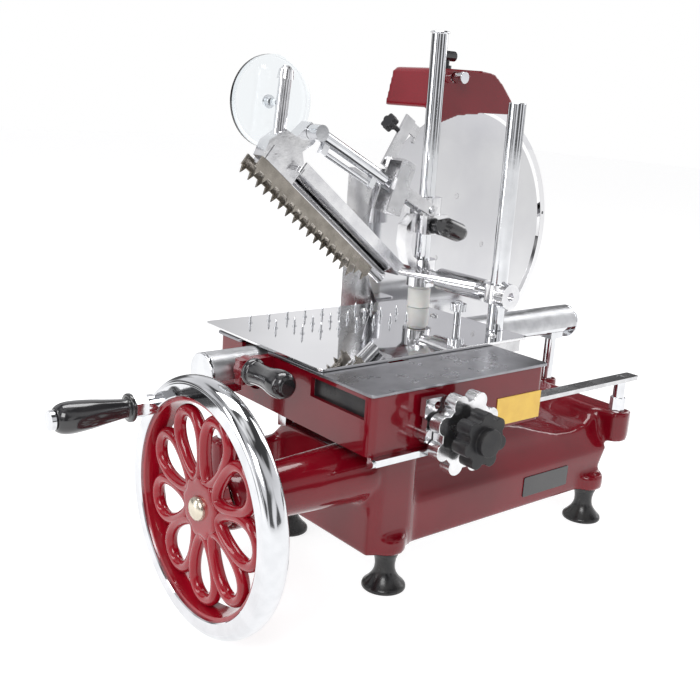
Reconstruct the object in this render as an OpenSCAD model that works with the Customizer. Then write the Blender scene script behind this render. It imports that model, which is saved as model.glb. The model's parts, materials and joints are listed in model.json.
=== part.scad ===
// Hand-cranked flywheel meat slicer: cast base, flywheel, sliding carriage with feed table,
// meat clamp on two columns and an upright circular blade with its sharpener.
// Millimetres, +Z up, +X along the carriage stroke, +Y from the operator towards the blade.

/* [Base] */
// Distance between the two front feet
foot_span = 325; // [320:1:330]
// Height of the feet under the casting
foot_height = 42; // [40:1:44]
// Length of the round guide bar
bar_length = 578; // [574:1:582]
// Radius of the round guide bar
bar_radius = 16; // [15.5:0.1:16]

/* [Flywheel] */
// Outer radius of the flywheel
wheel_radius = 119.5; // [117:0.5:120]
// Width of the polished rim
wheel_width = 24; // [22:0.5:24]
// Number of petal loops in the web
petals = 9; // [7:1:11]

/* [Blade] */
// Radius of the circular blade
blade_radius = 165; // [160:1:165]
// Thickness of the blade
blade_thickness = 3; // [2:0.5:3]

/* [Carriage and table] */
// Height of the top face of the meat table
table_top = 229; // [229:0.5:230]
// Height of the rear column above the floor
rear_column_top = 568; // [560:1:575]
// Height of the front column above the floor
front_column_top = 492; // [488:1:500]
// Spacing of the holding pins in a row
pin_pitch = 26; // [25:0.5:26]

/* [Meat clamp] */
// Angle of the clamp arm above horizontal
clamp_angle = 38.4; // [37:0.2:40]
// Number of teeth on each comb
comb_teeth = 16; // [12:1:17]

/* [Hidden] */
$fn = 48;
red = "#8c0c16";
chrome = "#d4d6da";
steel = "#b4b8bd";
dark = "#1a1a1c";
brass = "#b9924a";
wheel_y = 22;
wheel_z = 127;
wheel_x = -215;
crank_r = 108;
crank_a = 44.5;
crank_y = wheel_y + crank_r * cos(crank_a);
crank_z = wheel_z + crank_r * sin(crank_a);
bar_y = 164;
bar_z = 202;
bar_x0 = -122;
bar_x1 = bar_x0 + bar_length;
blade_x = 346;
blade_z = 313;
blade_y = 277;
counter_z = 79;
cross_x = 312;
col_x = 234;
col1_y = 227.5;
col2_y = 92.5;
col_r = 10;
table_bot = 226;
screw_x = 40;
hand_z = 179;
screw_z = 203;
hinge_z = 272;
strut_y = 198;
strut_len = 191.9;
strut_angle = 27.0;
strut_end_x = 34 + strut_len * cos(strut_angle);
strut_end_z = 447 - strut_len * sin(strut_angle);
feet = [[0, 0], [foot_span, 0], [-7, 162], [foot_span, 300]];

module blk(x0, x1, y0, y1, z0, z1) translate([x0, y0, z0]) cube([x1 - x0, y1 - y0, z1 - z0]);
module xcyl(y, z, r, x0, x1, r2 = -1) translate([x0, y, z]) rotate([0, 90, 0])
    cylinder(h = x1 - x0, r1 = r, r2 = r2 < 0 ? r : r2);
module ycyl(x, z, r, y0, y1, r2 = -1) translate([x, y0, z]) rotate([-90, 0, 0])
    cylinder(h = y1 - y0, r1 = r, r2 = r2 < 0 ? r : r2);
module zcyl(x, y, r, z0, z1, r2 = -1) translate([x, y, z0])
    cylinder(h = z1 - z0, r1 = r, r2 = r2 < 0 ? r : r2);
// plate with rounded upright corners
module slab(x0, x1, y0, y1, z0, z1, r) translate([0, 0, z0]) linear_extrude(z1 - z0) union() {
    translate([x0 + r, y0]) square([x1 - x0 - 2 * r, y1 - y0]);
    translate([x0, y0 + r]) square([x1 - x0, y1 - y0 - 2 * r]);
    for (p = [[x0 + r, y0 + r], [x1 - r, y0 + r], [x0 + r, y1 - r], [x1 - r, y1 - r]])
        translate(p) circle(r);
}
// shape given as x, z points, extruded along Y
module xz_prism(pts, y0, y1) translate([0, y1, 0]) rotate([90, 0, 0]) linear_extrude(y1 - y0) polygon(pts);
// shape given as y, z points, extruded along X
module yz_prism(pts, x0, x1) translate([x0, 0, 0]) rotate([90, 0, 90]) linear_extrude(x1 - x0) polygon(pts);
// straight-toothed wheel about its own Z axis
module toothed(r, teeth, w) linear_extrude(w) {
    circle(r - 3);
    for (i = [0 : teeth - 1]) rotate(i * 360 / teeth)
        translate([r - 4, -r * 1.35 / teeth]) square([3.7, r * 2.7 / teeth]);
}
// wheel with lobes about its own Z axis
module lobed(r, lobes, w, lobe_r, ring_r) linear_extrude(w) {
    circle(ring_r);
    for (i = [0 : lobes - 1]) rotate(i * 360 / lobes) translate([r - lobe_r, 0]) circle(lobe_r);
}

// ---------- base ----------
base_side = [[-30, 42], [338, 42], [341, 60], [351, 80], [362, 98], [376, 118], [388, 134], [352, 134],
             [344, 124], [330, 116], [305, 112], [275, 114], [245, 122], [215, 132], [190, 137], [-30, 138]];
base_end = [[-4, 42], [-4, 86], [4, 96], [11, 108], [14, 122], [22, 138], [150, 138], [166, 122],
            [172, 100], [172, 42]];
hollow_side = [[-23, 41], [331, 41], [334, 62], [343, 80], [352, 96], [350, 112], [330, 110], [305, 106],
               [275, 108], [245, 116], [215, 126], [190, 131], [-23, 132]];
hollow_end = [[2, 41], [2, 84], [10, 94], [17, 106], [20, 120], [26, 132], [148, 132], [160, 120],
              [166, 99], [166, 41]];

module tower_shape(inset) {
    polygon([[258 + inset, 42], [424 - inset, 42], [404 - inset, 180], [400 - inset, blade_z],
             [292 + inset, blade_z], [284 + inset, 180]]);
    translate([blade_x, blade_z]) circle(56 - inset, $fn = 96);
}

module base_casting() color(red) difference() {
    union() {
        intersection() {
            xz_prism(base_side, -10, 180);
            yz_prism(base_end, -40, 400);
        }
        slab(-30, 32, -9, 58, foot_height, 158.5, 12);
        blk(352, 386, -12, 18, 100, 134);
        zcyl(369, 0, 17, 96, 134);
        xcyl(wheel_y, wheel_z, 24, -185, -25, 32);
        xcyl(wheel_y, wheel_z, 27, -185, -166);
        zcyl(-95, bar_y, 15, 84, 128);
        blk(-95, -25, 156, 172, 66, 118);
        zcyl(432, bar_y, 15, 80, 123);
        blk(330, 432, 150, 171, 66, 112);
        blk(182, 340, 165, 302, foot_height, 100);
        translate([0, 345, 0]) rotate([90, 0, 0]) linear_extrude(45) tower_shape(0);
        ycyl(blade_x, blade_z, 34, 292.5, 301);
        for (f = feet) zcyl(f[0], f[1], 20, foot_height, 60);
    }
    intersection() {
        xz_prism(hollow_side, -10, 180);
        yz_prism(hollow_end, -24, 400);
    }
    blk(-24, 26, -5.6, 52, 60, 155.5);
    blk(188, 334, 160, 310, 41, 94);
    translate([0, 346, 0]) rotate([90, 0, 0]) linear_extrude(40) tower_shape(7);
    xcyl(wheel_y, wheel_z, 16, -190, -20);
    ycyl(blade_x, blade_z, 24, 290, 307);
    for (f = feet) zcyl(f[0], f[1], 4.2, 40, 58);
    blk(286, 334, 160, 312, 46, 94);
    blk(356, 382, -6, 12, 100, 126);
}

module base_cover_plate() color(steel) difference() {
    union() {
        slab(-22, 330, 3, 165, 39.5, 42, 6);
        slab(189, 333, 165, 299, 39.5, 42, 4);
    }
    for (f = feet) zcyl(f[0], f[1], 21, 38, 44);
}

module rubber_feet() color(dark) for (f = feet) difference() {
    union() {
        zcyl(f[0], f[1], 23, 0, 5, 22);
        zcyl(f[0], f[1], 22, 5, 12, 15);
        zcyl(f[0], f[1], 15, 12, 20, 10.5);
        zcyl(f[0], f[1], 10.5, 20, foot_height - 0.2, 14);
    }
    zcyl(f[0], f[1], 4.05, 10, 50);
}

module tower_rear_cover() color(red) difference() {
    translate([0, 348.5, 0]) rotate([90, 0, 0]) linear_extrude(3.4) tower_shape(1);
    for (p = [[280, 60], [402, 60], [300, 300], [392, 300]]) ycyl(p[0], p[1], 2.5, 340, 350);
}

module shaft_bushes() color(brass) for (x = [-184, -60]) difference() {
    xcyl(wheel_y, wheel_z, 15.95, x, x + 22);
    xcyl(wheel_y, wheel_z, 11.05, x - 1, x + 23);
}

module counter_bearings() color(steel) {
    for (x = [60, 240]) difference() {
        union() {
            xcyl(wheel_y, counter_z, 13, x, x + 12);
            blk(x, x + 12, wheel_y - 2, wheel_y + 8, counter_z, x < 100 ? 119.9 : 114);
        }
        xcyl(wheel_y, counter_z, 7.05, x - 1, x + 13);
    }
    for (y = [120, 250]) difference() {
        union() {
            ycyl(cross_x, counter_z, 13, y, y + 12);
            blk(cross_x - 8, cross_x + 8, y, y + 12, counter_z, y < 200 ? 105.8 : 93.9);
        }
        ycyl(cross_x, counter_z, 7.05, y - 1, y + 13);
    }
}

module flat_rail() color(steel) difference() {
    slab(118, 394, -9, 9, 171, 176, 3);
    for (x = [130, 369]) zcyl(x, 0, 5.1, 170, 177);
}

module rail_pillars() color(chrome) {
    zcyl(130, 0, 7, 138.2, 170.9);
    zcyl(369, 0, 7, 150, 170.9);
    translate([369, 0, 134.1]) cylinder(h = 16, r = 9.5, $fn = 6);
}

// studs of the feet and socket screws of the rail
module base_fasteners() color(steel) {
    for (f = feet) zcyl(f[0], f[1], 4, 10.2, 57.5);
    for (x = [130, 369]) difference() {
        zcyl(x, 0, 5, 171, 175.6);
        translate([x, 0, 173]) cylinder(h = 5, r = 2.6, $fn = 6);
    }
}

module guide_bar() color(chrome) xcyl(bar_y, bar_z, bar_radius, bar_x0, bar_x1);

module bar_pillars() color(chrome) {
    zcyl(-95, bar_y, 8, 128.1, 182);
    zcyl(432, bar_y, 8, 123.1, 182);
    for (x = [-95, 432]) difference() {
        blk(x - 12, x + 12, bar_y - 11, bar_y + 11, 181, 192);
        xcyl(bar_y, bar_z, bar_radius + 0.05, x - 13, x + 13);
    }
}

module bar_end_caps() color("#e4e2dc") for (x = [bar_x0 - 4, bar_x1]) xcyl(bar_y, bar_z, 22.5, x + 0.1, x + 3.9);

module bar_cover() color("#a4a6aa") difference() {
    xcyl(bar_y, bar_z, 22.5, bar_x0 + 0.1, bar_x1 - 0.1);
    xcyl(bar_y, bar_z, 21, bar_x0 - 1, bar_x1 + 1);
    blk(bar_x0 - 1, bar_x1 + 1, bar_y - 30, bar_y + 30, bar_z - 30, bar_z - 3);
}

module nameplate() color(dark) translate([241, -4, 67]) rotate([90, 0, 0]) slab(-39, 39, -12, 12, 0, 1.2, 2);

module blade_bearings() color(steel) {
    for (y = [294, 326]) difference() {
        ycyl(blade_x, blade_z, 23.9, y, y + 12);
        ycyl(blade_x, blade_z, 10.05, y - 1, y + 13);
    }
    difference() {
        blk(299.1, 392.9, 327, 337, blade_z - 12, blade_z + 12);
        ycyl(blade_x, blade_z, 32, 327, 337);
        ycyl(blade_x, blade_z, 24, 320, 340);
    }
}

module blade_guard_ring() color(chrome) difference() {
    union() {
        difference() {
            ycyl(blade_x, blade_z, 178, 274, 284, $fn = 144);
            ycyl(blade_x, blade_z, 168.5, 273, 285, $fn = 144);
            blk(100, 316, 270, 290, 100, 520);
            blk(100, 390, 270, 290, 400, 520);
        }
        for (a = [-58, 8]) translate([blade_x, 0, blade_z]) rotate([0, -a, 0]) {
            blk(46, 172, 286.5, 291.5, -8, 8);
            blk(168.6, 177, 275, 291.5, -8, 8);
        }
        for (a = [-58, 8]) translate([blade_x, 0, blade_z]) rotate([0, -a, 0]) ycyl(50, 0, 6, 291, 299.9);
    }
    for (a = [-58, 8]) translate([blade_x, 0, blade_z]) rotate([0, -a, 0]) ycyl(173, 0, 2.2, 270, 295);
}

module slice_deflector() color(steel) {
    translate([0, 0, 215]) linear_extrude(185) polygon(concat([[306, 284]],
        [for (i = [0 : 7]) [205 - i * 5, 284 + i * i * 0.5]],
        [for (i = [7 : -1 : 0]) [205.8 - i * 4.7, 286 + i * i * 0.5]], [[306, 286]]));
    for (z = [232, 300]) ycyl(299, z, 6, 285.5, 299.9);
}

module receiving_tray() color(steel) {
    slab(70, 256, 305, 420, 100.5, 102.5, 8);
    difference() {
        slab(70, 256, 305, 420, 102, 112, 8);
        slab(72, 254, 307, 418, 101, 113, 6);
    }
    blk(196, 240, 280, 306, 100.1, 102.5);
}

module sharpener_bracket() color(steel) {
    blk(332, 360, 295, 299.8, 350, 500);
    blk(285, 390, 292, 304.8, 498, 508);
    ycyl(300, 484, 4, 279, 298);
    ycyl(300, 484, 6, 291.2, 299);
    blk(294, 306, 293, 299, 484, 500);
    blk(366, 378, 293, 299, 484, 500);
    ycyl(372, 486, 4, 281, 298);
}

hood_shape = [[250, 479], [260, 524], [266, 529], [346, 530], [370, 527.5], [389, 514.5], [409.6, 494],
              [408, 476], [345, 476], [345, 479]];
hood_hollow = [[254, 470], [263, 522], [268, 526], [345, 527], [369, 524.5], [387, 512], [406, 493], [405, 470]];
module sharpener_cover() color(red) difference() {
    union() {
        xz_prism(hood_shape, 258, 340);
        xz_prism([[253, 480], [253, 452], [281, 462], [308, 471], [344, 474], [345, 480]], 258, 261);
    }
    xz_prism(hood_hollow, 261, 337);
    blk(402, 412, 272, 286, 465, 486);
    zcyl(305, 286, 4.3, 520, 532);
    ycyl(button_x, button_z, 6.3, 255, 262);
}

module drive_chain() color(dark) translate([0, 320, 0]) rotate([90, 0, 0]) linear_extrude(9) difference() {
    hull() {
        translate([cross_x, counter_z]) circle(29, $fn = 36);
        translate([blade_x, blade_z]) circle(19.2, $fn = 36);
    }
    hull() {
        translate([cross_x, counter_z]) circle(26.4, $fn = 36);
        translate([blade_x, blade_z]) circle(16.6, $fn = 36);
    }
}

// ---------- flywheel ----------
function petal(r0, r1, w) = [for (t = [0 : 12 : 348])
    [(r0 + r1) / 2 + (r1 - r0) / 2 * cos(t), w * sin(t) * (1 + 0.34 * cos(t))]];

module flywheel_rim() color(chrome) difference() {
    union() {
        xcyl(wheel_y, wheel_z, wheel_radius - 3, wheel_x, wheel_x + wheel_width, $fn = 160);
        translate([wheel_x + 3, wheel_y, wheel_z]) rotate([0, 90, 0])
            cylinder(h = wheel_width - 6, r = wheel_radius, $fn = 160);
    }
    xcyl(wheel_y, wheel_z, 101, wheel_x - 1, wheel_x + wheel_width + 1, $fn = 160);
}

// small window between two petals, as radius and share of the petal spacing
gap_shape = [[70, 0.5], [78, 0.43], [84.6, 0.345], [88.2, 0.29], [89.4, 0.36], [90, 0.5],
             [89.4, 0.64], [88.2, 0.71], [84.6, 0.655], [78, 0.57]];
function gap(step) = [for (p = gap_shape) [p[0] * cos(p[1] * step), p[0] * sin(p[1] * step)]];

module web_windows(pts) for (i = [0 : petals - 1]) translate([wheel_x, wheel_y, wheel_z])
    rotate([i * 360 / petals - 14, 0, 0]) rotate([90, 0, 90]) linear_extrude(25) polygon(pts);

module flywheel_web() color(red) difference() {
    union() {
        difference() {
            xcyl(wheel_y, wheel_z, 100.9, wheel_x + 4, wheel_x + 20, $fn = 160);
            xcyl(wheel_y, wheel_z, 91, wheel_x, wheel_x + wheel_width, $fn = 160);
        }
        xcyl(wheel_y, wheel_z, 25, wheel_x + 5, wheel_x + 27);
        xcyl(wheel_y, wheel_z, 93, wheel_x + 7, wheel_x + 17, $fn = 160);
    }
    web_windows(petal(30, 84, 15));
    web_windows(gap(360 / petals));
    xcyl(wheel_y, wheel_z, 11.02, wheel_x, wheel_x + 30);
}

module hub_cap() color(brass) {
    xcyl(wheel_y, wheel_z, 11, wheel_x + 1.2, wheel_x + 5);
    xcyl(wheel_y, wheel_z, 8, wheel_x - 1, wheel_x + 1.2, 11);
    xcyl(wheel_y, wheel_z, 4, wheel_x - 2, wheel_x - 1, 8);
}

module drive_shaft() color(steel) {
    xcyl(wheel_y, wheel_z, 11, wheel_x + 5.1, 16);
    translate([0, wheel_y, wheel_z]) rotate([0, 90, 0]) toothed(27, 24, 14);
    xcyl(wheel_y, wheel_z, 16, -20, 0);
}

module crank_spindle() color(chrome) {
    xcyl(crank_y, crank_z, 9.5, wheel_x - 8, wheel_x - 0.1);
    xcyl(crank_y, crank_z, 6, wheel_x - 96, wheel_x - 8);
    translate([wheel_x - 20, crank_y, crank_z]) rotate([0, 90, 0]) cylinder(h = 12, r = 11, $fn = 6);
    xcyl(crank_y, crank_z, 9, wheel_x - 99, wheel_x - 95);
}

module crank_grip() color(dark) difference() {
    union() {
        xcyl(crank_y, crank_z, 12.5, -240, -236);
        xcyl(crank_y, crank_z, 10, -250, -240, 9);
        xcyl(crank_y, crank_z, 12.5, -275, -250, 10);
        xcyl(crank_y, crank_z, 14.5, -300, -275, 12.5);
        xcyl(crank_y, crank_z, 12, -309, -300, 14.5);
    }
    xcyl(crank_y, crank_z, 6.06, -312, -230);
    xcyl(crank_y, crank_z, 9.4, -315, -309.2 + 1);
}

module counter_shaft() color(steel) {
    xcyl(wheel_y, counter_z, 7, -14, cross_x - 20);
    translate([0, wheel_y, counter_z]) rotate([0, 90, 0]) rotate(9) toothed(20.6, 18, 14);
    xcyl(wheel_y, counter_z, 11, cross_x - 22, cross_x - 12.6);
    xcyl(wheel_y, counter_z, 18.4, cross_x - 12.6, cross_x - 8, 11.4);
}

module cross_shaft() color(steel) {
    ycyl(cross_x, counter_z, 7, 42, 324);
    ycyl(cross_x, counter_z, 9, 40.8, 50);
    ycyl(cross_x, counter_z, 7.8, 34.4, 40.8, 12);
    translate([cross_x, 311, counter_z]) rotate([-90, 0, 0]) toothed(26, 26, 9);
}

// ---------- blade and sharpener ----------
module slicing_blade() color(chrome) difference() {
    union() {
        ycyl(blade_x, blade_z, blade_radius, blade_y, blade_y + 0.6, $fn = 160);
        ycyl(blade_x, blade_z, blade_radius, blade_y + 0.6, blade_y + blade_thickness, blade_radius - 9, $fn = 160);
        ycyl(blade_x, blade_z, 34, blade_y + 1, 291.5, $fn = 64);
    }
    for (i = [0 : 2]) translate([blade_x, 0, blade_z]) rotate([0, 120 * i + 20, 0]) ycyl(52, 0, 4, 270, 285);
    ycyl(blade_x, blade_z, 10.02, 270, 295);
}

module blade_shaft() color(steel) {
    ycyl(blade_x, blade_z, 10, blade_y + 1, 342);
    for (i = [0 : 2]) translate([blade_x, 0, blade_z]) rotate([0, 120 * i + 20, 0]) ycyl(52, 0, 3.9, 277.3, 281);
    translate([blade_x, 311, blade_z]) rotate([-90, 0, 0]) toothed(16, 16, 9);
}

module grinding_stone() color("#6f6a60") difference() {
    ycyl(300, 484, 14, 281, 290);
    ycyl(300, 484, 4.06, 280, 291);
}

module deburring_stone() color("#c9c3b4") difference() {
    ycyl(372, 486, 13, 281.5, 290);
    ycyl(372, 486, 4.06, 280, 291);
}

module sharpener_knob() color(dark) {
    zcyl(305, 286, 4, 512, 542);
    zcyl(305, 286, 7, 530.2, 534);
    xcyl(286, 546, 6.5, 292, 318);
}

button_x = 296;
button_z = 519;
module sharpener_button() color(chrome) {
    ycyl(button_x, button_z, 6, 244, 270);
    ycyl(button_x, button_z, 7.4, 240, 245);
}

// ---------- carriage ----------
module carriage_box() color(red) difference() {
    union() {
        difference() {
            slab(-61, 182, -32, 235, 163, 222.5, 9);
            slab(-56, 177, -27, 230, 160, 230, 5);
        }
        blk(18, 62, -14, -6, 190, 222.5);
        blk(18, 62, -30, -14, 216, 222.5);
        for (x = [-44, 118]) {
            blk(x, x + 44, 148, 180, 163, 190);
            blk(x, x + 44, 175, 232, 163, 175);
            xcyl(bar_y, bar_z, 20.4, x, x + 44);
        }
        slab(-101, -58, 128, 141, 196, 222, 3);
        ycyl(-88, 210, 13.5, 126, 141);
    }
    for (x = [-44, 118]) xcyl(bar_y, bar_z, 19, x - 1, x + 45);
    blk(-63, -54, -22, 62, 198, 218);
    blk(174, 184, 48, 118, 207, 230);
    for (x = [-70, 170]) {
        xcyl(bar_y, bar_z, 24.5, x, x + 20);
        blk(x, x + 20, bar_y - 24.5, bar_y + 24.5, bar_z, 230);
    }
    blk(170, 190, -15, 15, 160, 183);
    ycyl(screw_x, hand_z, 6.08, -40, -20);
    ycyl(screw_x, screw_z, 5.08, -16, -2);
    ycyl(160, 188.3, 4.0, -40, -20);
}

module carriage_plates() color(steel) {
    difference() {
        slab(-63, 184, -34, 138, 222.6, 225.6, 4);
        blk(26, 54, 44, 139, 220, 230);
    }
    slab(-63, 184, 190, 237, 222.6, 225.6, 4);
}

module carriage_bushings() color(brass) for (x = [-42, 120]) difference() {
    xcyl(bar_y, bar_z, 18.95, x, x + 40);
    xcyl(bar_y, bar_z, 16.06, x - 1, x + 41);
}

module push_handle() color(dark) {
    ycyl(-88, 210, 14.5, 120, 125.9);
    ycyl(-88, 210, 11, 95, 120, 12.5);
    ycyl(-88, 210, 14.5, 78, 95, 11);
    ycyl(-88, 210, 14.5, 68, 78);
    ycyl(-88, 210, 9, 62, 68, 14.5);
}

module warning_plate() color("#d9b23a") blk(110, 178, -33.1, -32.1, 166, 196);

module carriage_trim() color(chrome) {
    blk(-58, 14, -40, -32.2, 156, 162.9);
    blk(-58, 14, -40, -27, 159, 162.9);
    xcyl(-36, 159.5, 4.5, -62, -58.2);
    translate([-50, 118, 150]) cylinder(h = 12.9, r = 9, $fn = 6);
    translate([100, 0, 0]) blk(48, 72, -26.9, 13, 206, 221);
    blk(148, 172, 9, 13, 182, 206);
    ycyl(160, 188.3, 3.95, -31.5, 12.5);
    ycyl(5, 178, 7.5, -36, -32.1);
}

module rail_roller() color(steel) difference() {
    ycyl(160, 188.3, 12, -6, 6);
    ycyl(160, 188.3, 4.02, -7, 7);
}

module feed_lever() color(chrome) difference() {
    union() {
        xz_prism([[-2, 172], [12, 172], [14, 196], [24, 200], [24, 216], [-4, 216], [-4, 198], [0, 194]], -44, -37);
        ycyl(5, 178, 8, -46, -36.2);
    }
    ycyl(12, 208, 4, -50, -30);
}

module feed_handwheel() color("#c3c6ca") {
    translate([screw_x, -47, hand_z]) rotate([90, 22.5, 0]) lobed(43, 8, 14, 9.5, 34);
    ycyl(screw_x, hand_z, 15, -47, -32.3);
    ycyl(screw_x, hand_z, 6, -62, -14);
    ycyl(screw_x, hand_z, 10, -66, -60);
    translate([screw_x, -26, hand_z]) rotate([-90, 0, 0]) toothed(12, 14, 8);
}

module clutch_knob() color(dark) {
    translate([screw_x, -67, hand_z]) rotate([90, 13, 0]) lobed(29, 7, 18, 7.6, 23);
    ycyl(screw_x, hand_z, 14, -92, -80);
}

// turned profile of the screw: radius, distance along Y
screw_turning = concat([[0, -20], [5, -20], [5, -2], [5.6, -2]],
    [for (i = [0 : 12]) each [[5.6, 2 + i * 9], [6.5, 2 + i * 9], [6.5, 6 + i * 9], [5.6, 6 + i * 9]]],
    [[5.6, 126], [0, 126]]);
module feed_screw() color(steel) {
    translate([screw_x, 0, screw_z]) rotate([-90, 0, 0]) rotate_extrude() polygon(screw_turning);
    translate([screw_x, -26, screw_z]) rotate([-90, 0, 0]) toothed(12, 14, 8);
}

// ---------- table ----------
module meat_table() color(chrome) {
    slab(-61, 245, 47, 268, table_bot, table_top, 7);
    difference() {
        blk(30, 50, 127, 140, 194, table_bot + 0.2);
        ycyl(screw_x, screw_z, 6.7, 120, 145);
    }
}

pin_rows = [[-18, 239, 8], [-5, 206, 8], [8, 173, 7]];
module table_pins() color(chrome) for (row = pin_rows) for (i = [0 : row[2] - 1])
    translate([row[0] + i * pin_pitch, row[1], 0]) {
        zcyl(0, 0, 2.4, table_top, table_top + 1.2);
        zcyl(0, 0, 1.3, table_top + 1, table_top + 8);
        zcyl(0, 0, 1.3, table_top + 8, table_top + 11, 0.2);
    }

module columns() color(chrome) {
    zcyl(col_x, col1_y, col_r, table_top, rear_column_top);
    zcyl(col_x, col2_y, col_r, table_top, front_column_top);
    zcyl(col_x, col1_y, 12.5, rear_column_top, rear_column_top + 2.5, 11);
}

module nylon_sleeve() color("#eceae4") difference() {
    union() {
        zcyl(col_x, col1_y, 14.5, table_top, 254);
        zcyl(col_x, col1_y, 12.5, 254, 257);
    }
    zcyl(col_x, col1_y, col_r + 0.05, 220, 260);
}

module table_fittings() color(steel) {
    blk(190, 238, 54, 112, 211, table_bot);
    for (p = [[150, 236], [214, 176], [206, 70]]) {
        zcyl(p[0], p[1], 5, table_top, table_top + 1.6);
        zcyl(p[0], p[1], 4, table_top + 1.6, table_top + 3, 2);
    }
}

module table_knob() color(chrome) {
    zcyl(208, 130, 4.5, table_top + 0.2, 246);
    translate([208, 130, 246]) lobed(10, 12, 9, 2.1, 9.1);
    zcyl(208, 130, 6, 255, 258, 4);
}

// ---------- meat clamp ----------
module arm_frame() translate([col_x, 0, hinge_z]) rotate([0, clamp_angle, 0]) children();

module clamp_slider() color(chrome) difference() {
    union() {
        zcyl(col_x, col1_y, 19, 345, 371);
        zcyl(col_x, col1_y, 18, 257.4, 292);
        xz_prism([[222, 275], [204, 286], [195, 312], [196, 336], [222, 362], [222, 350], [208, 334],
                  [205, 312], [210, 298], [222, 290]], 219, 236);
        ycyl(col_x, hinge_z, 9, 84, 216);
        ycyl(col_x, hinge_z, 15, 72, 86);
        zcyl(col_x, col2_y, 16, 262, 284);
        blk(216, 252, 205, 212, 326, 350);
        zcyl(col_x, col1_y, 17, 326, 346);
        ycyl(strut_end_x, strut_end_z, 5, 205.6, 226);
        blk(196, 222, 216, 226, 352, 368);
    }
    zcyl(col_x, col1_y, col_r + 0.08, 200, 400);
    zcyl(col_x, col2_y, col_r + 0.08, 200, 400);
    ycyl(col_x, hinge_z, 5, 70, 76);
}

module lock_lever() color(dark) {
    ycyl(col_x, 336, 7, 182, 204.8);
    ycyl(col_x, 336, 10, 196, 200);
    translate([col_x, 178, 336]) rotate([0, 18, 0]) {
        xcyl(0, 0, 12, -12, 12);
        xcyl(0, 0, 8, -20, -12, 12);
        xcyl(0, 0, 12, 12, 20, 8);
    }
}

module clamp_arm() color(chrome) arm_frame() {
    difference() {
        union() {
            ycyl(0, 0, 13.5, 112, 190);
            hull() {
                ycyl(-8, -2, 5, 118, 188, $fn = 24);
                ycyl(-62, -33, 3, 194, 240, $fn = 24);
            }
        }
        ycyl(0, 0, 9.08, 100, 200);
    }
    slab(-262, -58, 192, 248, -36, -30, 6);
    for (y = [194, 244]) blk(-258, -62, y - 1.5, y + 1.5, -32, -22);
    xcyl(222, -45, 8.9, -294, -60);
    blk(-296, -250, 206, 227, -48, -30);
    xz_prism([[-300, -48], [-252, -48], [-252, -20], [-272, -4], [-276, -4], [-296, -8], [-304, -30]], 207, 226);
    xz_prism([[-256, 4], [-256, 20], [-274, 20], [-280, -12], [-262, -12]], 207, 226);
    translate([-293, 216, -16]) rotate([0, -33, 0]) {
        zcyl(0, 0, 7, 0, 68);
        zcyl(0, 0, 9, 60, 70, 8);
        zcyl(0, 0, 8, 69, 74, 4);
    }
}

module clamp_combs() color(steel) arm_frame() for (y = [208, 236]) {
    blk(-300, -90, y - 1.2, y + 1.2, -62, -48);
    for (i = [0 : comb_teeth - 1]) translate([-295 + i * 200 / (comb_teeth - 1), 0, 0])
        xz_prism([[-3.4, -61], [3.4, -61], [0, -70]], y - 1.2, y + 1.2);
}

guard_x = -313;
guard_z = 13;
module hand_guard() color("#dfe8ee80") arm_frame() {
    difference() {
        ycyl(guard_x, guard_z, 50, 238, 240.4, $fn = 96);
        ycyl(guard_x, guard_z, 4, 230, 242);
    }
    difference() {
        ycyl(guard_x, guard_z, 50, 231.4, 238.2, $fn = 96);
        ycyl(guard_x, guard_z, 48, 220, 242, $fn = 96);
    }
    ycyl(guard_x, guard_z, 7, 240.2, 244);
    ycyl(guard_x, guard_z, 3.9, 223.1, 241);
}

module strut_frame() translate([34, strut_y, 447]) rotate([0, strut_angle, 0]) children();

module strut_rod() color(chrome) strut_frame() {
    xcyl(0, 0, 7.5, 6, 112);
    xcyl(0, 0, 5, 112, strut_len + 6);
    ycyl(0, 0, 9, -8.5, 8.5);
    xcyl(0, -15, 3, 12, 100);
    for (x = [12, 92]) blk(x, x + 8, -4, 4, -18, 0);
}

bar_tilt = 31;
module bar_frame() translate([151, 206.2, 414]) rotate([0, bar_tilt, 0]) children();

// clevis at the pivot, inclined box link round the strut, and the flat bar with its clip
module strut_bracket() color(steel) {
    strut_frame() for (y = [-11, 8.2]) difference() {
        blk(strut_len - 74, strut_len + 8, y, y + 2.6, -7, 7);
        ycyl(strut_len, 0, 5.07, y - 1, y + 4);
    }
    difference() {
        translate([151.9, 0, 387.3]) rotate([0, 19.4, 0]) difference() {
            blk(-11, 11, 184.6, 211.4, -32, 32);
            blk(-20, 8, 187.4, 208.6, -40, 29);
        }
        strut_frame() xcyl(0, 0, 9.6, strut_len - 90, strut_len - 20);
    }
    bar_frame() {
        blk(-8, 8, 5.1, 8.3, -6, 62);
        blk(7, 22, 5.1, 8.3, 46, 60);
        blk(19, 22, 5.1, 10, 40, 60);
    }
}

module star_knob() color(dark) bar_frame() {
    xcyl(6.7, 39.5, 3, -21, -8.2);
    translate([-20, 6.7, 39.5]) rotate([0, -90, 0]) lobed(10, 6, 9, 3.5, 8);
}

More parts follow.
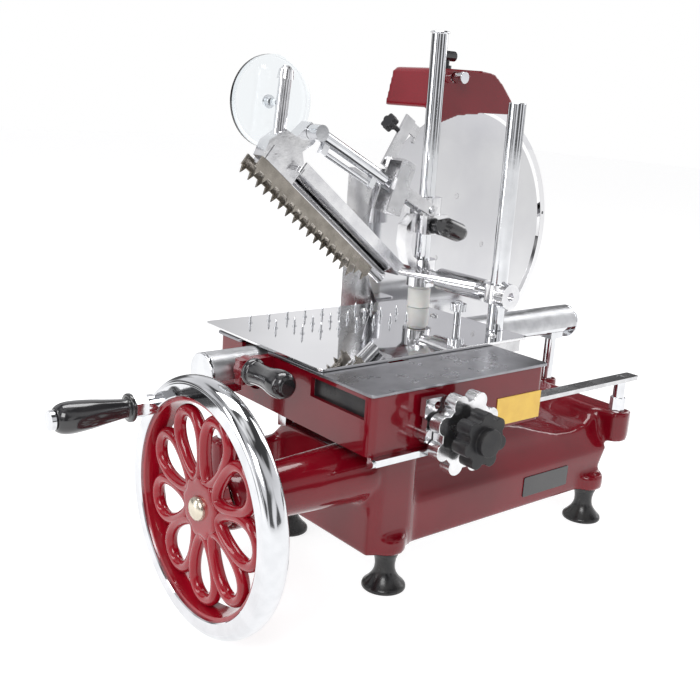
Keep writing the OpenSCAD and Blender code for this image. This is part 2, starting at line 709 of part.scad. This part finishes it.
base_casting();
base_cover_plate();
rubber_feet();
base_fasteners();
tower_rear_cover();
shaft_bushes();
counter_bearings();
flat_rail();
rail_pillars();
guide_bar();
bar_pillars();
bar_end_caps();
bar_cover();
nameplate();
blade_bearings();
blade_guard_ring();
slice_deflector();
receiving_tray();
sharpener_bracket();
sharpener_cover();
drive_chain();
flywheel_rim();
flywheel_web();
drive_shaft();
hub_cap();
crank_spindle();
crank_grip();
counter_shaft();
cross_shaft();
slicing_blade();
blade_shaft();
grinding_stone();
deburring_stone();
sharpener_knob();
sharpener_button();
carriage_box();
carriage_plates();
carriage_bushings();
push_handle();
warning_plate();
carriage_trim();
rail_roller();
feed_lever();
feed_handwheel();
clutch_knob();
feed_screw();
meat_table();
table_pins();
columns();
nylon_sleeve();
table_fittings();
table_knob();
clamp_slider();
lock_lever();
clamp_arm();
clamp_combs();
hand_guard();
strut_rod();
strut_bracket();
star_knob();
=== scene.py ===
import json
import math

import bmesh
import bpy
from mathutils import Matrix, Vector


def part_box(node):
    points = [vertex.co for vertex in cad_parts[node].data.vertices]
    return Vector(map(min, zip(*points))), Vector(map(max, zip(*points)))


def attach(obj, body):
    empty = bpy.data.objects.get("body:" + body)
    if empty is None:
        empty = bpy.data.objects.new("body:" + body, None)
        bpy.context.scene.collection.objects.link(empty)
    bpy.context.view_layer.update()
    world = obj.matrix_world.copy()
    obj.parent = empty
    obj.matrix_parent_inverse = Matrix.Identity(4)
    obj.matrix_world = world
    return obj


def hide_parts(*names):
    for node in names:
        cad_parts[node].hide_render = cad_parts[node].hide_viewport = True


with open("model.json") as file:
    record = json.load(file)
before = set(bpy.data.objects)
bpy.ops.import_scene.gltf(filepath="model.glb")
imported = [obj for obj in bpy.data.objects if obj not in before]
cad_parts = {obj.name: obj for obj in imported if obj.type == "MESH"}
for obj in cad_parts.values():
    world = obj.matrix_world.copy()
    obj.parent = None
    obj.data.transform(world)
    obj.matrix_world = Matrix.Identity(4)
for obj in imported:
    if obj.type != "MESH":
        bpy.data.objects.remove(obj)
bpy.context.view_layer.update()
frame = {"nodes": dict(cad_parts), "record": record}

NODES = frame["nodes"]
BODY = {n: b for b, names in frame["record"]["behaviour"]["bodies"].items() for n in names}
AXIS_X, AXIS_Y, AXIS_Z = Vector((1, 0, 0)), Vector((0, 1, 0)), Vector((0, 0, 1))
SLOT = {s["node"]: s["material_slot"] for s in frame["record"]["subparts"]}

# ---------- camera: place in metres, angles in radians, focal length for a 36 mm wide sensor ----------
CAMERA_AT = Vector((-0.6188, -0.6668, 0.4906))
HEADING, DIP, ROLL = 0.6931, 0.2589, 0.0643
SENSOR = 36
FOCAL = 49.71


def make_camera():
    look = Vector((math.sin(HEADING) * math.cos(DIP), math.cos(HEADING) * math.cos(DIP), -math.sin(DIP)))
    right = look.cross(AXIS_Z).normalized()
    up = right.cross(look)
    side = right * math.cos(ROLL) + up * math.sin(ROLL)
    top = up * math.cos(ROLL) - right * math.sin(ROLL)
    cam = bpy.data.objects.new("camera", bpy.data.cameras.new("camera"))
    cam.data.sensor_width = SENSOR
    cam.data.lens = FOCAL
    cam.data.clip_start, cam.data.clip_end = 0.02, 30
    cam.matrix_world = Matrix((side, top, -look)).transposed().to_4x4()
    cam.location = CAMERA_AT
    bpy.context.scene.collection.objects.link(cam)
    bpy.context.scene.camera = cam


# ---------- floor and light ----------
FLOOR_HALF = 8
FLOOR_GREY, FLOOR_GLOW = 0.42, 0.78
# name, place, what it points at, width and height, power in watts
LIGHTS = (("key", (-1.5, -1.3, 1.8), (0.1, 0.1, 0.2), (1.1, 1.1), 30),
          ("fill", (2.2, 0.1, 1.3), (0.2, 0.1, 0.2), (0.9, 1.5), 12),
          ("top", (0.3, 0.6, 2.1), (0.15, 0.12, 0.2), (1.5, 0.8), 26),
          ("left_strip", (-1.7, 0.7, 0.9), (0.1, 0.1, 0.3), (0.35, 1.6), 9))
# height of the direction (0 level, 1 straight up) and how bright the reflected sky is there
SKY = ((0.0, (0.90, 0.90, 0.918)), (0.9, (0.50, 0.50, 0.51)), (0.902, (0.804, 0.804, 0.805)), (1.0, (1, 1, 1)))
# the sky's bright and dark panels: their size, the part of the noise used, and their strengths
PANEL_SCALE, PANEL_NOISE, PANEL_STRENGTH = 1.9, (0.44, 0.56), (0.12, 1.15)


def area_light(name, at, target, size, power):
    data = bpy.data.lights.new(name, "AREA")
    data.shape, data.energy = "RECTANGLE", power
    data.size, data.size_y = size
    lamp = bpy.data.objects.new(name, data)
    lamp.location = at
    lamp.rotation_euler = (Vector(target) - Vector(at)).to_track_quat("-Z", "Y").to_euler()
    bpy.context.scene.collection.objects.link(lamp)


def make_floor():
    """A pale floor that glows a little, so that shadows on it stay faint."""
    corners = [(x * FLOOR_HALF, y * FLOOR_HALF, 0) for x, y in ((-1, -1), (1, -1), (1, 1), (-1, 1))]
    mesh = bpy.data.meshes.new("floor")
    mesh.from_pydata(corners, [], [(0, 1, 2, 3)])
    floor = bpy.data.objects.new("floor", mesh)
    bpy.context.scene.collection.objects.link(floor)
    mat = bpy.data.materials.new("floor_paper")
    mat.use_nodes = True
    shader = mat.node_tree.nodes["Principled BSDF"]
    shader.inputs["Base Color"].default_value = (FLOOR_GREY, FLOOR_GREY, FLOOR_GREY, 1)
    shader.inputs["Roughness"].default_value = 0.8
    shader.inputs["Emission Color"].default_value = (1, 1, 1, 1)
    shader.inputs["Emission Strength"].default_value = FLOOR_GLOW
    mesh.materials.append(mat)


def reflected_sky(nodes, links):
    """Background shader that fades with height and is broken into bright and dark panels."""
    coord, split = nodes.new("ShaderNodeTexCoord"), nodes.new("ShaderNodeSeparateXYZ")
    ramp = nodes.new("ShaderNodeValToRGB")
    links.new(coord.outputs["Generated"], split.inputs[0])
    links.new(split.outputs["Z"], ramp.inputs[0])
    stops = ramp.color_ramp.elements
    for height, _ in SKY[1:-1]:
        stops.new(height)
    for stop, (_, shade) in zip(stops, SKY):
        stop.color = (*shade, 1)
    cloud, panels = nodes.new("ShaderNodeTexNoise"), nodes.new("ShaderNodeMapRange")
    cloud.inputs["Scale"].default_value, cloud.inputs["Detail"].default_value = PANEL_SCALE, 1.0
    links.new(coord.outputs["Generated"], cloud.inputs["Vector"])
    links.new(cloud.outputs["Fac"], panels.inputs["Value"])
    for end, noise, strength in zip(("Min", "Max"), PANEL_NOISE, PANEL_STRENGTH):
        panels.inputs["From " + end].default_value = noise
        panels.inputs["To " + end].default_value = strength
    sky = nodes["Background"]
    links.new(ramp.outputs[0], sky.inputs["Color"])
    links.new(panels.outputs[0], sky.inputs["Strength"])
    return sky


def make_world():
    """White where the camera looks past the object or through glass; the sky for every other ray."""
    world = bpy.data.worlds.new("studio")
    world.use_nodes = True
    nodes, links = world.node_tree.nodes, world.node_tree.links
    sky = reflected_sky(nodes, links)
    white = nodes.new("ShaderNodeBackground")
    white.inputs["Color"].default_value = (1, 1, 1, 1)
    path, direct = nodes.new("ShaderNodeLightPath"), nodes.new("ShaderNodeMath")
    direct.operation, direct.use_clamp = "ADD", True
    links.new(path.outputs["Is Camera Ray"], direct.inputs[0])
    links.new(path.outputs["Is Transmission Ray"], direct.inputs[1])
    mix = nodes.new("ShaderNodeMixShader")
    for socket, source in enumerate((direct, sky, white)):
        links.new(source.outputs[0], mix.inputs[socket])
    links.new(mix.outputs[0], nodes["World Output"].inputs[0])
    bpy.context.scene.world = world


def make_stage():
    make_floor()
    make_world()
    for light in LIGHTS:
        area_light(*light)
    bpy.context.scene.view_settings.view_transform = "Standard"


# ---------- materials ----------
class Surface:
    """One procedural material: a principled shader with noise-driven colour, roughness and bump."""

    def __init__(self, name, color, metallic, rough, **shader_values):
        self.mat = bpy.data.materials.new(name)
        self.mat.use_nodes = True
        self.nodes, self.links = self.mat.node_tree.nodes, self.mat.node_tree.links
        self.shader = self.nodes["Principled BSDF"]
        self.coord = self.nodes.new("ShaderNodeTexCoord").outputs["Object"]
        self.color = color
        self.height = None
        self.shader.inputs["Base Color"].default_value = (*color, 1)
        self.shader.inputs["Metallic"].default_value = metallic
        for key, value in shader_values.items():
            self.shader.inputs[key.replace("_", " ")].default_value = value
        fine = self.in_range(self.noise(35, 6), (0.3, 0.7), rough)
        self.links.new(fine, self.shader.inputs["Roughness"])

    def noise(self, scale, detail, stretch=(1, 1, 1)):
        mapping = self.nodes.new("ShaderNodeMapping")
        mapping.inputs["Scale"].default_value = stretch
        tex = self.nodes.new("ShaderNodeTexNoise")
        tex.inputs["Scale"].default_value = scale
        tex.inputs["Detail"].default_value = detail
        self.links.new(self.coord, mapping.inputs["Vector"])
        self.links.new(mapping.outputs[0], tex.inputs["Vector"])
        return tex.outputs["Fac"]

    def in_range(self, value, source, target):
        """The value, carried from the source range to the target range."""
        node = self.nodes.new("ShaderNodeMapRange")
        for end, old, new in zip(("Min", "Max"), source, target):
            node.inputs["From " + end].default_value = old
            node.inputs["To " + end].default_value = new
        self.links.new(value, node.inputs["Value"])
        return node.outputs[0]

    def tint(self, other, scale, detail):
        """Patches of a second colour."""
        mix = self.nodes.new("ShaderNodeMix")
        mix.data_type = "RGBA"
        patches = self.in_range(self.noise(scale, detail), (0.4, 0.65), (0, 1))
        self.links.new(patches, mix.inputs["Factor"])
        mix.inputs["A"].default_value = (*self.color, 1)
        mix.inputs["B"].default_value = (*other, 1)
        self.links.new(mix.outputs["Result"], self.shader.inputs["Base Color"])

    def bump(self, scale, strength, distance, detail, stretch=(1, 1, 1)):
        """Another layer of surface relief, its distance in metres."""
        node = self.nodes.new("ShaderNodeBump")
        node.inputs["Strength"].default_value = strength
        node.inputs["Distance"].default_value = distance
        self.links.new(self.noise(scale, detail, stretch), node.inputs["Height"])
        if self.height:
            self.links.new(self.height, node.inputs["Normal"])
        self.height = node.outputs[0]
        self.links.new(self.height, self.shader.inputs["Normal"])


GLOSS_RED = {"Coat_Weight": 0.7, "Coat_Roughness": 0.04, "Specular_IOR_Level": 0.15}
GLOSS_BLACK = {"Coat_Weight": 0.6, "Coat_Roughness": 0.05}
NYLON = {"Subsurface_Weight": 0.15, "Subsurface_Scale": 0.004}
CLEAR = {"Transmission_Weight": 1.0, "IOR": 1.49}
ALONG_X = (1, 16, 16)

# name: colour, metallic, roughness range, (second colour, noise scale, detail),
#       layers of relief (noise scale, strength, distance in metres, detail, stretch), other shader values
FINISHES = {
    "red_enamel": ((0.135, 0.0012, 0.006), 0, (0.16, 0.26), ((0.175, 0.002, 0.009), 9, 3),
                   ((160, 0.10, 0.0006, 2), (22, 0.12, 0.002, 2)), GLOSS_RED),
    "wheel_red": ((0.23, 0.002, 0.009), 0, (0.14, 0.24), ((0.28, 0.003, 0.012), 12, 3),
                  ((150, 0.1, 0.0006, 2),), GLOSS_RED),
    "chrome": ((0.72, 0.73, 0.75), 1, (0.045, 0.12), ((0.64, 0.65, 0.67), 40, 5),
               ((60, 0.06, 0.0006, 3), (700, 0.03, 0.0002, 2)), {}),
    "cast_chrome": ((0.78, 0.78, 0.79), 1, (0.10, 0.22), ((0.66, 0.66, 0.68), 45, 5),
                    ((70, 0.16, 0.0012, 4), (420, 0.05, 0.0003, 3)), {}),
    "mirror_steel": ((0.80, 0.80, 0.81), 1, (0.02, 0.045), ((0.77, 0.77, 0.78), 14, 3),
                     ((7, 0.05, 0.0008, 2),), {}),
    "blade_steel": ((0.66, 0.66, 0.67), 1, (0.07, 0.12), ((0.59, 0.59, 0.61), 9, 4),
                    ((10, 0.05, 0.0008, 2),), {}),
    "bronze_steel": ((0.37, 0.34, 0.30), 1, (0.20, 0.32), ((0.25, 0.23, 0.20), 50, 5),
                     ((200, 0.1, 0.0004, 4, (1, 12, 12)),), {}),
    "grey_plate": ((0.34, 0.34, 0.36), 1, (0.24, 0.36), ((0.28, 0.28, 0.30), 60, 5),
                   ((130, 0.06, 0.0003, 4, ALONG_X),), {}),
    "steel": ((0.66, 0.66, 0.67), 1, (0.20, 0.34), ((0.55, 0.55, 0.56), 60, 6),
              ((120, 0.10, 0.0004, 4, (1, 18, 18)),), {}),
    "aluminium": ((0.60, 0.605, 0.62), 1, (0.30, 0.42), ((0.50, 0.505, 0.52), 80, 5),
                  ((110, 0.12, 0.0004, 4, ALONG_X),), {}),
    "wheel_aluminium": ((0.76, 0.76, 0.77), 1, (0.16, 0.30), ((0.62, 0.62, 0.63), 70, 5),
                        ((130, 0.2, 0.0010, 5),), {}),
    "black_plastic": ((0.012, 0.012, 0.014), 0, (0.10, 0.22), ((0.022, 0.021, 0.022), 25, 4),
                      ((300, 0.05, 0.0003, 3),), GLOSS_BLACK),
    "satin_black": ((0.014, 0.014, 0.016), 0, (0.26, 0.40), ((0.026, 0.025, 0.025), 60, 4),
                    ((380, 0.12, 0.0004, 3),), {"Specular_IOR_Level": 0.3}),
    "black_rubber": ((0.010, 0.010, 0.011), 0, (0.18, 0.32), ((0.03, 0.029, 0.028), 40, 5),
                     ((260, 0.15, 0.0005, 3),), {}),
    "brass": ((0.60, 0.44, 0.24), 1, (0.18, 0.32), ((0.46, 0.32, 0.17), 70, 5),
              ((300, 0.08, 0.0003, 3),), {}),
    "hub_nickel": ((0.72, 0.66, 0.55), 1, (0.18, 0.32), ((0.6, 0.54, 0.44), 90, 5),
                   ((320, 0.08, 0.0003, 3),), {}),
    "white_nylon": ((0.84, 0.83, 0.80), 0, (0.35, 0.5), ((0.78, 0.77, 0.73), 50, 4),
                    ((300, 0.08, 0.0004, 3),), NYLON),
    "clear_acrylic": ((0.93, 0.96, 0.98), 0, (0.02, 0.05), None,
                      ((60, 0.02, 0.0003, 2),), CLEAR),
    "yellow_label": ((0.80, 0.52, 0.09), 0, (0.30, 0.42), ((0.74, 0.46, 0.08), 60, 4),
                     ((240, 0.05, 0.0003, 2),), {}),
    "abrasive": ((0.40, 0.38, 0.34), 0, (0.7, 0.9), ((0.25, 0.24, 0.22), 900, 3),
                 ((900, 0.6, 0.0006, 3),), {}),
    "dark_steel": ((0.10, 0.10, 0.11), 1, (0.30, 0.45), ((0.16, 0.14, 0.12), 80, 5),
                   ((400, 0.15, 0.0004, 3),), {}),
}


def make_materials():
    made = {}
    for name, (color, metallic, rough, second, relief, extra) in FINISHES.items():
        surface = Surface(name, color, metallic, rough, **extra)
        if second:
            surface.tint(*second)
        for layer in relief:
            surface.bump(*layer)
        made[name] = surface.mat
    return made


# nodes whose finish differs from their slot's
LOOK = {"flywheel_web": "wheel_red", "slicing_blade": "blade_steel",
        "feed_handwheel": "wheel_aluminium", "clutch_knob": "satin_black", "star_knob": "satin_black",
        "clamp_slider": "cast_chrome", "clamp_arm": "cast_chrome", "hub_cap": "hub_nickel",
        "feed_lever": "cast_chrome", "clamp_combs": "bronze_steel", "bar_end_caps": "chrome",
        "carriage_plates": "grey_plate"}


def look_of(node):
    return MATERIALS[LOOK.get(node, SLOT[node])]


# ---------- shapes ----------
SHARP = math.radians(38)  # faces that meet at more than this keep a sharp edge
EASED_FROM = math.radians(34)  # and edges are eased from this angle up
EASED_STEPS = 3
FLAT = math.radians(0.6)  # faces that meet at less than this are one flat face
TUBE_SIDES = 16


def add_piece(name, mesh, node=None, material=None, body=None):
    """A piece that stands for a CAD node, or an extra one with its own material and body."""
    obj = bpy.data.objects.new(name, mesh)
    bpy.context.scene.collection.objects.link(obj)
    mesh.materials.clear()
    mesh.materials.append(material or look_of(node))
    crisp(mesh)
    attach(obj, body or BODY[node])
    if node:
        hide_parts(node)
    return obj


def crisp(mesh):
    """Smooth shading that keeps the sharp edges."""
    bm = bmesh.new()
    bm.from_mesh(mesh)
    for face in bm.faces:
        face.smooth = True
    for edge in bm.edges:
        edge.smooth = not (len(edge.link_faces) == 2 and edge.calc_face_angle(0) > SHARP)
    bm.to_mesh(mesh)
    bm.free()


def clean_copy(node):
    """A copy of a node's mesh with its flat faces in one piece each."""
    bm = bmesh.new()
    bm.from_mesh(NODES[node].data)
    bmesh.ops.remove_doubles(bm, verts=bm.verts, dist=1e-6)
    bmesh.ops.dissolve_limit(bm, angle_limit=FLAT, verts=bm.verts, edges=bm.edges)
    mesh = bpy.data.meshes.new(node + "_look")
    bm.to_mesh(mesh)
    bm.free()
    return mesh


def baked(obj):
    """The object's mesh with its modifiers applied, as the object's own mesh."""
    bpy.context.view_layer.update()
    deps = bpy.context.evaluated_depsgraph_get()
    mesh = bpy.data.meshes.new_from_object(obj.evaluated_get(deps))
    obj.modifiers.clear()
    obj.data = mesh
    return obj


def eased(node, width):
    """The CAD shape with its sharp edges eased to the given radius in millimetres."""
    obj = add_piece(node + "_eased", clean_copy(node), node)
    mod = obj.modifiers.new("ease", "BEVEL")
    mod.width, mod.segments = width / 1000, EASED_STEPS
    mod.limit_method, mod.angle_limit = "ANGLE", EASED_FROM
    baked(obj)
    crisp(obj.data)
    weighted = obj.modifiers.new("normals", "WEIGHTED_NORMAL")
    weighted.keep_sharp = True
    return baked(obj)


def cast(node, voxel, rounds):
    """The CAD shape as a casting with filleted inside and outside corners; voxel in millimetres."""
    obj = add_piece(node + "_cast", clean_copy(node), node)
    remesh = obj.modifiers.new("grain", "REMESH")
    remesh.mode, remesh.voxel_size = "VOXEL", voxel / 1000
    smooth = obj.modifiers.new("fillet", "SMOOTH")
    smooth.factor, smooth.iterations = 0.5, rounds
    baked(obj)
    obj.data.polygons.foreach_set("use_smooth", [True] * len(obj.data.polygons))
    return obj


def lathe_mesh(name, profile, origin, axis, steps=72, ripple=(0, 0)):
    """Surface of revolution: profile is (distance along axis, radius) in millimetres.

    ripple is (lobes, depth): the radius swells and shrinks that often round the axis."""
    side = axis.orthogonal().normalized()
    other = axis.cross(side)
    origin = Vector(origin) / 1000
    verts, faces = [], []
    for along, radius in profile:
        for k in range(steps):
            a = 2 * math.pi * k / steps
            reach = radius * (1 + ripple[1] * math.cos(ripple[0] * a)) / 1000
            verts.append(origin + axis * along / 1000 + (side * math.cos(a) + other * math.sin(a)) * reach)
    for i in range(len(profile) - 1):
        for k in range(steps):
            n = (k + 1) % steps
            faces.append((i * steps + k, i * steps + n, (i + 1) * steps + n, (i + 1) * steps + k))
    faces.append(tuple(reversed(range(steps))))
    faces.append(tuple((len(profile) - 1) * steps + k for k in range(steps)))
    mesh = bpy.data.meshes.new(name)
    mesh.from_pydata(verts, [], faces)
    mesh.update()
    return mesh


def curved(points, per_span):
    """Smooth profile through the given points (Catmull-Rom)."""
    out = []
    for i in range(len(points) - 1):
        p0, p1 = points[max(i - 1, 0)], points[i]
        p2, p3 = points[i + 1], points[min(i + 2, len(points) - 1)]
        for s in range(per_span):
            t = s / per_span
            out.append(tuple(0.5 * (2 * b + (c - a) * t + (2 * a - 5 * b + 4 * c - d) * t * t
                                    + (3 * b - a - 3 * c + d) * t ** 3)
                             for a, b, c, d in zip(p0, p1, p2, p3)))
    out.append(tuple(points[-1]))
    return out


def open_ends(mesh):
    """The mesh without its end faces, for a profile that closes on itself."""
    bm = bmesh.new()
    bm.from_mesh(mesh)
    for face in [f for f in bm.faces if len(f.verts) > 4]:
        bm.faces.remove(face)
    bm.to_mesh(mesh)
    bm.free()
    return mesh


def joined(name, meshes):
    """The meshes as one."""
    bm = bmesh.new()
    for mesh in meshes:
        bm.from_mesh(mesh)
    out = bpy.data.meshes.new(name)
    bm.to_mesh(out)
    bm.free()
    return out


def ring_tube(name, path, radius):
    """Round bar along a closed path of points, all in metres, in a plane of constant X."""
    count = len(path)
    verts, faces = [], []
    for i, point in enumerate(path):
        along = (Vector(path[(i + 1) % count]) - Vector(path[i - 1])).normalized()
        across = along.cross(AXIS_X).normalized()
        out = across.cross(along)
        for k in range(TUBE_SIDES):
            t = 2 * math.pi * k / TUBE_SIDES
            verts.append(Vector(point) + (across * math.cos(t) + out * math.sin(t)) * radius)
    for i in range(count):
        j = (i + 1) % count
        for k in range(TUBE_SIDES):
            n = (k + 1) % TUBE_SIDES
            faces.append((i * TUBE_SIDES + k, i * TUBE_SIDES + n, j * TUBE_SIDES + n, j * TUBE_SIDES + k))
    mesh = bpy.data.meshes.new(name)
    mesh.from_pydata(verts, [], faces)
    mesh.update()
    return mesh


# ---------- profiles of the turned pieces: (distance along the axis, radius) in millimetres ----------
WEB_RING = [(3, 100.8), (2.8, 98.4), (3.4, 97.0), (6, 96.2), (14, 94.2), (20, 92.6), (21.6, 92.6), (22, 93.6),
            (22, 100.8), (3, 100.8)]
HUB = [(5.4, 2), (5.2, 20), (5.5, 25.0), (6.8, 27.4), (11, 28.4), (15, 28), (19, 26), (26.5, 24)]
HUB_CAP = [(-2.0, 0.3), (-1.8, 3.5), (-0.9, 7), (0.8, 9.8), (3.0, 11.2), (5.5, 11.6)]
CRANK_GRIP = [(0, 8.4), (0.4, 12.6), (2.4, 13.4), (4.4, 12.8), (5.4, 9.6), (8, 9.0), (14, 9.6), (26, 11.2),
              (40, 13.2), (54, 14.4), (62, 14.4), (68, 13.2), (72, 10.8), (72.8, 8.8)]
PUSH_HANDLE = [(0, 11), (0.2, 14.0), (2.6, 14.4), (5.2, 13.4), (8, 11.9), (18, 11.3), (28, 11.8), (36, 13.0),
               (44, 14.3), (50, 14.5), (56, 13.8), (60.5, 11.6), (62.6, 9.0), (63.2, 7.6), (63.4, 2)]
FOOT = [(0, 19), (0.2, 22.2), (1.6, 23.0), (4.2, 22.4), (7, 19.6), (10.5, 16.4), (15, 13.2),
        (20, 11.2), (26, 10.6), (33, 11.6), (38.5, 13.6)]
FOOT_TOP_RADIUS = 14.2
FEET_AT = ((0, 0), (325, 0), (-7, 162), (325, 300))
GUARD_CAP = [(-0.2, 7.3), (2.4, 7.5), (3.6, 6.4), (3.95, 3.0), (4.0, 0.3)]
GUARD_CAP_DEPTH = 4.0

# ---------- flywheel ----------
PETALS, PETAL_TURN = 9, math.radians(-14)
# a petal's loop in metres: middle and half length along the spoke, half width, its swell outwards, bar radius
PETAL_MIDDLE, PETAL_REACH, PETAL_HALF, PETAL_SWELL, PETAL_BAR = 0.0570, 0.0310, 0.0183, 0.34, 0.0058
PETAL_DEPTH = 0.012
PETAL_POINTS = 72
HUB_RIPPLE = 0.05
RIM_TREAD, RIM_BAND, RIM_LIP, RIM_STEPS = 6.8, 17.8, 0.9, 12


def rim_profile(radius, width):
    """Flat face, a crease, and a tread that bulges to the full radius half way across."""
    near = [(RIM_LIP, radius - RIM_BAND - RIM_LIP), (0, radius - RIM_BAND), (0, radius - RIM_TREAD - 0.6)]
    crease = 0.5
    for k in range(RIM_STEPS + 1):
        t = math.pi / 2 * k / RIM_STEPS
        near.append((crease + (width / 2 - crease) * (1 - math.cos(t)), radius - RIM_TREAD * (1 - math.sin(t))))
    far = [(width - a, b) for a, b in reversed(near[:-1])]
    return near + far + [near[0]]


def petal_loop(x, centre, turn):
    path = []
    for k in range(PETAL_POINTS):
        t = 2 * math.pi * k / PETAL_POINTS
        out = PETAL_MIDDLE + PETAL_REACH * math.cos(t)
        across = PETAL_HALF * math.sin(t) * (1 + PETAL_SWELL * math.cos(t))
        path.append((x, centre.y + out * math.cos(turn) - across * math.sin(turn),
                     centre.z + out * math.sin(turn) + across * math.cos(turn)))
    return ring_tube("loop", path, PETAL_BAR)


def flywheel():
    low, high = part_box("flywheel_rim")
    centre = (low + high) / 2
    origin = (low.x * 1000, centre.y * 1000, centre.z * 1000)
    rim = rim_profile((high.z - low.z) * 500, (high.x - low.x) * 1000)
    add_piece("flywheel_rim_look", open_ends(lathe_mesh("rim", rim, origin, AXIS_X, 192)), "flywheel_rim")
    parts = [open_ends(lathe_mesh("ring", WEB_RING, origin, AXIS_X, 160))]
    for i in range(PETALS):
        parts.append(petal_loop(low.x + PETAL_DEPTH, centre, 2 * math.pi * i / PETALS + PETAL_TURN))
    parts.append(lathe_mesh("hub", curved(HUB, 4), origin, AXIS_X, 144, (PETALS, HUB_RIPPLE)))
    add_piece("flywheel_web_look", joined("web", parts), "flywheel_web")
    add_piece("hub_cap_look", lathe_mesh("cap", curved(HUB_CAP, 5), origin, AXIS_X), "hub_cap")


# ---------- grips, feet and small pieces ----------
def grips():
    low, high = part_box("crank_grip")
    middle = (low + high) * 500
    grip = lathe_mesh("grip", curved(CRANK_GRIP, 5), (high.x * 1000, middle.y, middle.z), -AXIS_X)
    add_piece("crank_grip_look", grip, "crank_grip")
    low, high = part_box("push_handle")
    middle = (low + high) * 500
    push = lathe_mesh("push", curved(PUSH_HANDLE, 5), (middle.x, high.y * 1000, middle.z), -AXIS_Y)
    add_piece("push_handle_look", push, "push_handle")


def feet():
    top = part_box("rubber_feet")[1].z * 1000
    profile = curved(FOOT + [(top, FOOT_TOP_RADIUS)], 5)
    meshes = [lathe_mesh("foot", profile, (x, y, 0), AXIS_Z) for x, y in FEET_AT]
    add_piece("rubber_feet_look", joined("feet", meshes), "rubber_feet")


def guard_boss():
    """Bright screw cap in the middle of the clear hand guard."""
    low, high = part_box("hand_guard")
    middle = (low + high) * 500
    origin = (middle.x, high.y * 1000 - GUARD_CAP_DEPTH, middle.z)
    cap = lathe_mesh("boss", curved(GUARD_CAP, 5), origin, AXIS_Y)
    add_piece("guard_boss_look", cap, None, MATERIALS["chrome"], "arm")


def painted_shade_box():
    """Painted shade: a dark plate inside the carriage, behind the window in its left wall, standing in for the
    shade inside the hollow box.
    """
    inset, depth = 0.0465, 0.006
    front, back, bottom, top = -0.024, 0.064, 0.196, 0.2205
    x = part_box("carriage_box")[0].x + inset
    outline = [(front, bottom), (back, bottom), (back, top), (front, top)]
    verts = [(x, y, z) for y, z in outline]
    verts += [(x + depth, y * 0.96 + 0.001, z * 0.99 + 0.002) for y, z in outline]
    faces = [(0, 1, 2, 3), (7, 6, 5, 4), (0, 4, 5, 1), (1, 5, 6, 2), (2, 6, 7, 3), (3, 7, 4, 0)]
    mesh = bpy.data.meshes.new("shade_plate_mesh")
    mesh.from_pydata(verts, [], faces)
    # satin black here is painted shade, not a part of the carriage
    piece = add_piece("painted_shade_box", mesh, None, MATERIALS["satin_black"], BODY["carriage_box"])
    edge = piece.modifiers.new("ease", "BEVEL")
    edge.width, edge.segments = 0.001, 2
    baked(piece)


# ---------- assembly ----------
# edge radius in millimetres
EASED = {"carriage_box": 2.2, "carriage_plates": 0.6, "meat_table": 0.5, "clutch_knob": 2.4,
         "feed_handwheel": 2.6, "feed_lever": 1.6, "carriage_trim": 0.8, "flat_rail": 0.8,
         "rail_pillars": 0.5, "columns": 1.2, "bar_cover": 0.3, "bar_end_caps": 0.8, "bar_pillars": 0.8,
         "nameplate": 0.4, "crank_spindle": 1.2, "strut_bracket": 0.7, "strut_rod": 1.2,
         "table_fittings": 0.8, "table_knob": 0.5, "star_knob": 1.0, "sharpener_button": 1.0,
         "sharpener_knob": 1.4, "lock_lever": 3.0, "clamp_combs": 0.25, "warning_plate": 0.3,
         "tower_rear_cover": 1.0, "receiving_tray": 0.6, "guide_bar": 0.8, "slice_deflector": 0.3,
         "blade_guard_ring": 0.8, "nylon_sleeve": 1.0, "hand_guard": 0.5, "clamp_slider": 1.4,
         "clamp_arm": 1.4}
# voxel in millimetres, and rounds of smoothing
CAST = {"base_casting": (3.0, 10), "sharpener_cover": (2.0, 6)}

make_camera()
make_stage()
MATERIALS = make_materials()
flywheel()
grips()
feet()
guard_boss()
painted_shade_box()
for node, radius in EASED.items():
    eased(node, radius)
for node, (voxel, rounds) in CAST.items():
    cast(node, voxel, rounds)
for node, obj in NODES.items():
    obj.data.materials.clear()
    obj.data.materials.append(look_of(node))
